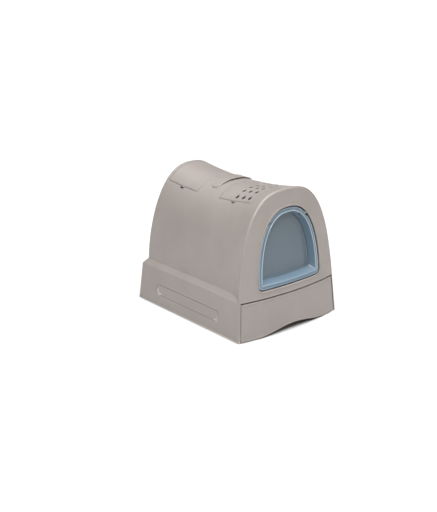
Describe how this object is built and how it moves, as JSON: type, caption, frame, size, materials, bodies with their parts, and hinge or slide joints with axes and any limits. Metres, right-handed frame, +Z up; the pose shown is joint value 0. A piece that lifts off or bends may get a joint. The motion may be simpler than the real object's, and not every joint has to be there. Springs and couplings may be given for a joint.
{
  "type": "hooded cat litter box",
  "caption": "Vaulted plastic litter box with a translucent swing door, a pull-out front drawer, top storage and vented filter hatches and a carry handle.",
  "frame": {"origin": "on the floor, under the middle of the skirt's four corners", "axes": "+X to the object's right seen from its front, the door and the drawer face -Y, +Z up"},
  "size_m": [0.403, 0.5032, 0.4218],
  "materials": {
    "taupe_plastic": "satin moulded polypropylene",
    "grey_plastic": "matte moulded polypropylene",
    "blue_translucent_plastic": "smoky blue translucent, polished",
    "carbon_foam": "open-cell carbon filter foam",
    "zinc_steel": "zinc plated",
    "bag_film": "wound polythene film",
    "card": "rolled card",
    "nylon": "natural nylon"
  },
  "bodies": {
    "hood": {"hood_shell": "taupe_plastic", "floor_pan": "grey_plastic", "pan_screw_1": "zinc_steel", "pan_screw_2": "zinc_steel", "pan_screw_3": "zinc_steel", "pan_screw_4": "zinc_steel", "door_pin_left": "nylon", "door_pin_right": "nylon", "bag_hatch_pin": "zinc_steel", "vent_hatch_pin": "zinc_steel", "bag_compartment": "grey_plastic", "bag_roll": "bag_film", "bag_roll_core": "card", "scoop": "grey_plastic", "filter_cage": "grey_plastic", "filter_pad": "carbon_foam"},
    "drawer": {"litter_tray": "grey_plastic", "drawer_front": "taupe_plastic", "panel_peg_1": "nylon", "panel_peg_2": "nylon"},
    "door": {"door_flap": "blue_translucent_plastic"},
    "bag_lid": {"bag_hatch": "taupe_plastic"},
    "vent_lid": {"vent_hatch": "taupe_plastic"},
    "handle": {"carry_handle": "taupe_plastic", "handle_clip_left": "nylon", "handle_clip_right": "nylon"}
  },
  "joints": [
    {"name": "drawer_slide", "type": "slide", "parent": "hood", "child": "drawer", "axis": [0, -1, 0], "range_m": [0, 0.38]},
    {"name": "door_swing", "type": "hinge", "parent": "hood", "child": "door", "pos_m": [0, -0.2203, 0.335], "axis": [1, 0, 0], "range_deg": [-75, 75]},
    {"name": "bag_hatch_hinge", "type": "hinge", "parent": "hood", "child": "bag_lid", "pos_m": [0.099, 0.137, 0.36637], "axis": [0, 0.9979, 0.0643], "range_deg": [0, 110]},
    {"name": "vent_hatch_hinge", "type": "hinge", "parent": "hood", "child": "vent_lid", "pos_m": [0.099, -0.101, 0.37084], "axis": [0, 0.9945, -0.1045], "range_deg": [0, 110]},
    {"name": "handle_lift", "type": "slide", "parent": "hood", "child": "handle", "axis": [0, 0, 1], "range_m": [0, 0.022]}
  ]
}
